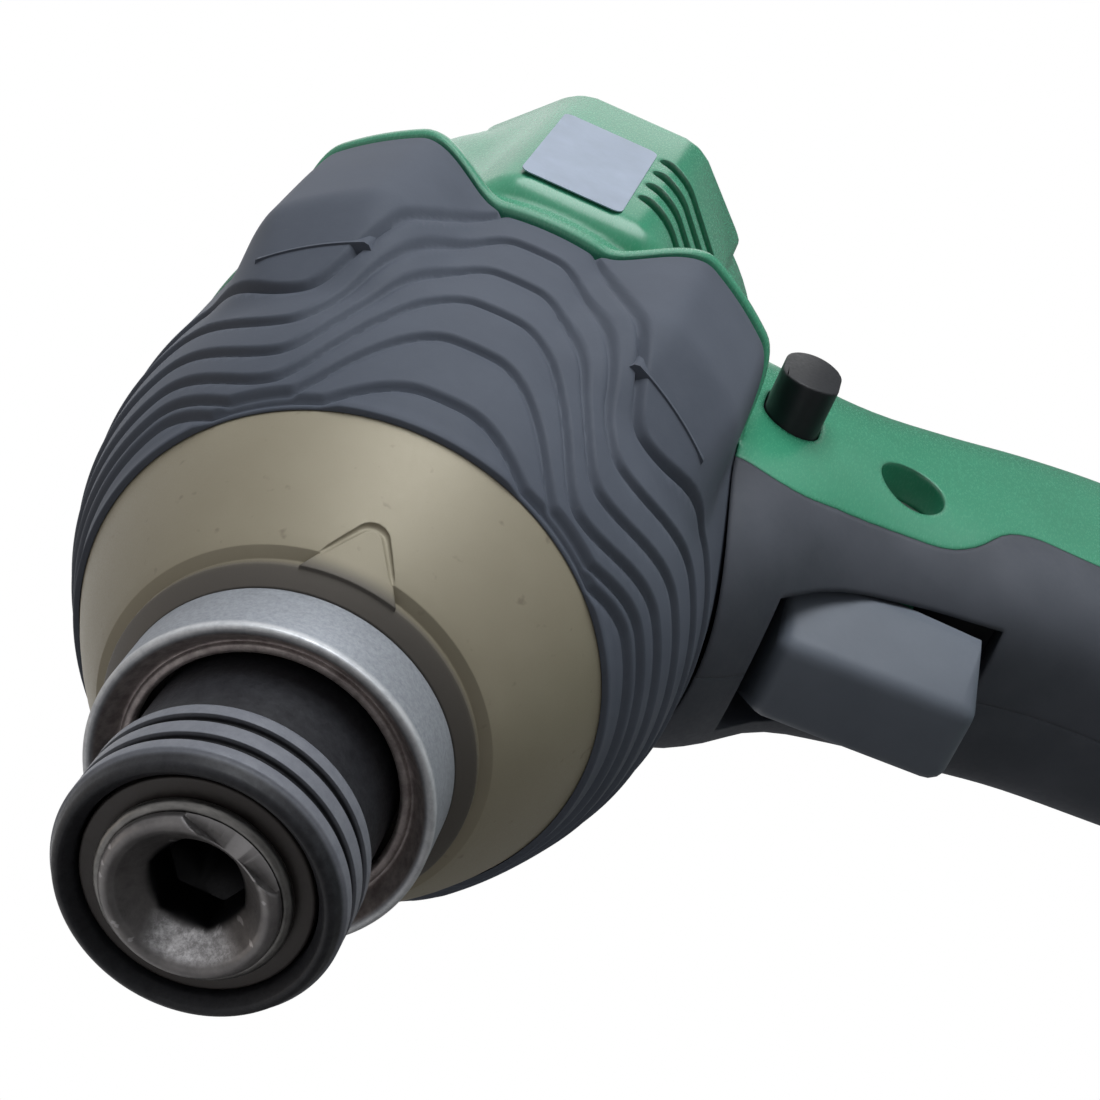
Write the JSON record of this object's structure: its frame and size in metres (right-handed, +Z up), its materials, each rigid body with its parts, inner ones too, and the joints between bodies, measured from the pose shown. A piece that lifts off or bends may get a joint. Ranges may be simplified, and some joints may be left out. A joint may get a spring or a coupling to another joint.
{
  "type": "impact driver",
  "caption": "Cordless impact driver with a sprung hex bit sleeve, terraced rubber nose guard, pistol handle with trigger and a slide-on battery base.",
  "frame": {"origin": "middle of the battery's flat base, on the plane the tool stands on", "axes": "+X towards the nose and bit, +Y to the tool's left, +Z up from the base to the drive axis"},
  "size_m": [0.1325, 0.0772, 0.2484],
  "materials": {
    "dark_steel": "worn",
    "spring_steel": "satin",
    "black_sleeve": "satin",
    "bare_aluminium": "brushed",
    "bronze_case": "satin metallic",
    "bronze_bush": "satin",
    "white_polymer": "matte",
    "black_rubber": "matte",
    "green_plastic": "gloss",
    "black_plastic": "matte",
    "grey_plastic": "satin",
    "copper_winding": "enamelled",
    "board_green": "matte",
    "clear_lens": "frosted",
    "cell_wrap": "gloss"
  },
  "bodies": {
    "body": {"nose_ring": "bare_aluminium", "hammer_case": "bronze_case", "case_bush": "bronze_bush", "anvil_washer": "white_polymer", "ring_gear": "dark_steel", "gear_cover": "grey_plastic", "spindle_bearing": "spring_steel", "stator_core": "dark_steel", "stator_windings": "copper_winding", "sensor_board": "board_green", "front_bearing": "spring_steel", "rear_bearing": "spring_steel", "case_screws": "spring_steel", "front_protector": "black_rubber", "housing_left": "green_plastic", "housing_right": "green_plastic", "rear_cover": "green_plastic", "cover_screws": "spring_steel", "housing_screws": "spring_steel", "grip_left": "black_rubber", "grip_right": "black_rubber", "trigger_spring": "spring_steel", "switch_body": "black_plastic", "control_panel": "black_plastic", "light_lens": "clear_lens", "controller": "black_plastic", "terminal_block": "grey_plastic", "hook_inserts": "bronze_bush"},
    "anvil": {"anvil": "dark_steel", "retaining_ring": "spring_steel", "stop_washer": "dark_steel", "sleeve_spring": "spring_steel"},
    "sleeve": {"bit_sleeve": "black_sleeve"},
    "ball_top": {"detent_ball_top": "spring_steel"},
    "ball_bottom": {"detent_ball_bottom": "spring_steel"},
    "spindle": {"spindle": "spring_steel", "planet_pins": "spring_steel", "cam_balls": "spring_steel", "hammer_spring": "spring_steel"},
    "hammer": {"hammer": "dark_steel", "spring_washer": "spring_steel"},
    "planet_top": {"planet_gear_top": "dark_steel"},
    "planet_bottom": {"planet_gear_bottom": "dark_steel"},
    "rotor": {"rotor_shaft": "spring_steel", "rotor_core": "dark_steel", "rotor_magnets": "spring_steel", "sun_pinion": "spring_steel", "cooling_fan": "black_plastic"},
    "trigger": {"trigger": "grey_plastic"},
    "reverse_button": {"reverse_button": "black_plastic"},
    "mode_button": {"mode_button": "grey_plastic"},
    "battery": {"battery_upper": "black_plastic", "battery_lower": "black_plastic", "battery_cells": "cell_wrap", "battery_board": "board_green", "battery_screws": "spring_steel", "latch_springs": "spring_steel"},
    "latch_left": {"battery_latch_left": "grey_plastic"},
    "latch_right": {"battery_latch_right": "grey_plastic"}
  },
  "joints": [
    {"name": "spindle_spin", "type": "hinge", "parent": "body", "child": "spindle", "pos_m": [0, 0, 0.219], "axis": [1, 0, 0], "continuous": true},
    {"name": "anvil_spin", "type": "hinge", "parent": "body", "child": "anvil", "pos_m": [0, 0, 0.219], "axis": [1, 0, 0], "continuous": true},
    {"name": "rotor_spin", "type": "hinge", "parent": "body", "child": "rotor", "pos_m": [0, 0, 0.219], "axis": [1, 0, 0], "continuous": true},
    {"name": "planet_top_spin", "type": "hinge", "parent": "spindle", "child": "planet_top", "pos_m": [0, 0, 0.2302], "axis": [1, 0, 0], "continuous": true},
    {"name": "planet_bottom_spin", "type": "hinge", "parent": "spindle", "child": "planet_bottom", "pos_m": [0, 0, 0.2078], "axis": [1, 0, 0], "continuous": true},
    {"name": "hammer_slide", "type": "slide", "parent": "spindle", "child": "hammer", "axis": [-1, 0, 0], "range_m": [0, 0.007], "stiffness_N_per_m": 4000, "springref_m": -0.005, "deforming": ["hammer_spring"]},
    {"name": "sleeve_slide", "type": "slide", "parent": "anvil", "child": "sleeve", "axis": [1, 0, 0], "range_m": [0, 0.005], "stiffness_N_per_m": 900, "springref_m": -0.003, "deforming": ["sleeve_spring"]},
    {"name": "ball_top_slide", "type": "slide", "parent": "anvil", "child": "ball_top", "axis": [0, 0, 1], "range_m": [0, 0.0006]},
    {"name": "ball_bottom_slide", "type": "slide", "parent": "anvil", "child": "ball_bottom", "axis": [0, 0, -1], "range_m": [0, 0.0006]},
    {"name": "trigger_slide", "type": "slide", "parent": "body", "child": "trigger", "axis": [-1, 0, 0], "range_m": [0, 0.007], "stiffness_N_per_m": 700, "springref_m": -0.004, "deforming": ["trigger_spring"]},
    {"name": "reverse_slide", "type": "slide", "parent": "body", "child": "reverse_button", "axis": [0, 1, 0], "range_m": [-0.0035, 0.0035]},
    {"name": "mode_press", "type": "slide", "parent": "body", "child": "mode_button", "axis": [-0.2756, 0, -0.9613], "range_m": [0, 0.0006], "stiffness_N_per_m": 1500, "springref_m": -0.0004},
    {"name": "battery_slide", "type": "slide", "parent": "body", "child": "battery", "axis": [1, 0, 0], "range_m": [0, 0.1]},
    {"name": "latch_left_press", "type": "slide", "parent": "battery", "child": "latch_left", "axis": [0, -1, 0], "range_m": [0, 0.003], "stiffness_N_per_m": 900, "springref_m": -0.002, "deforming": ["latch_springs"]},
    {"name": "latch_right_press", "type": "slide", "parent": "battery", "child": "latch_right", "axis": [0, 1, 0], "range_m": [0, 0.003], "stiffness_N_per_m": 900, "springref_m": -0.002, "deforming": ["latch_springs"]}
  ],
  "couplings": [
    {"joint": "anvil_spin", "follows": "spindle_spin", "ratio": 1},
    {"joint": "rotor_spin", "follows": "spindle_spin", "ratio": 5.3333},
    {"joint": "planet_top_spin", "follows": "spindle_spin", "ratio": -2.6},
    {"joint": "planet_bottom_spin", "follows": "spindle_spin", "ratio": -2.6},
    {"joint": "ball_top_slide", "follows": "sleeve_slide", "ratio": 0.12},
    {"joint": "ball_bottom_slide", "follows": "sleeve_slide", "ratio": 0.12}
  ]
}
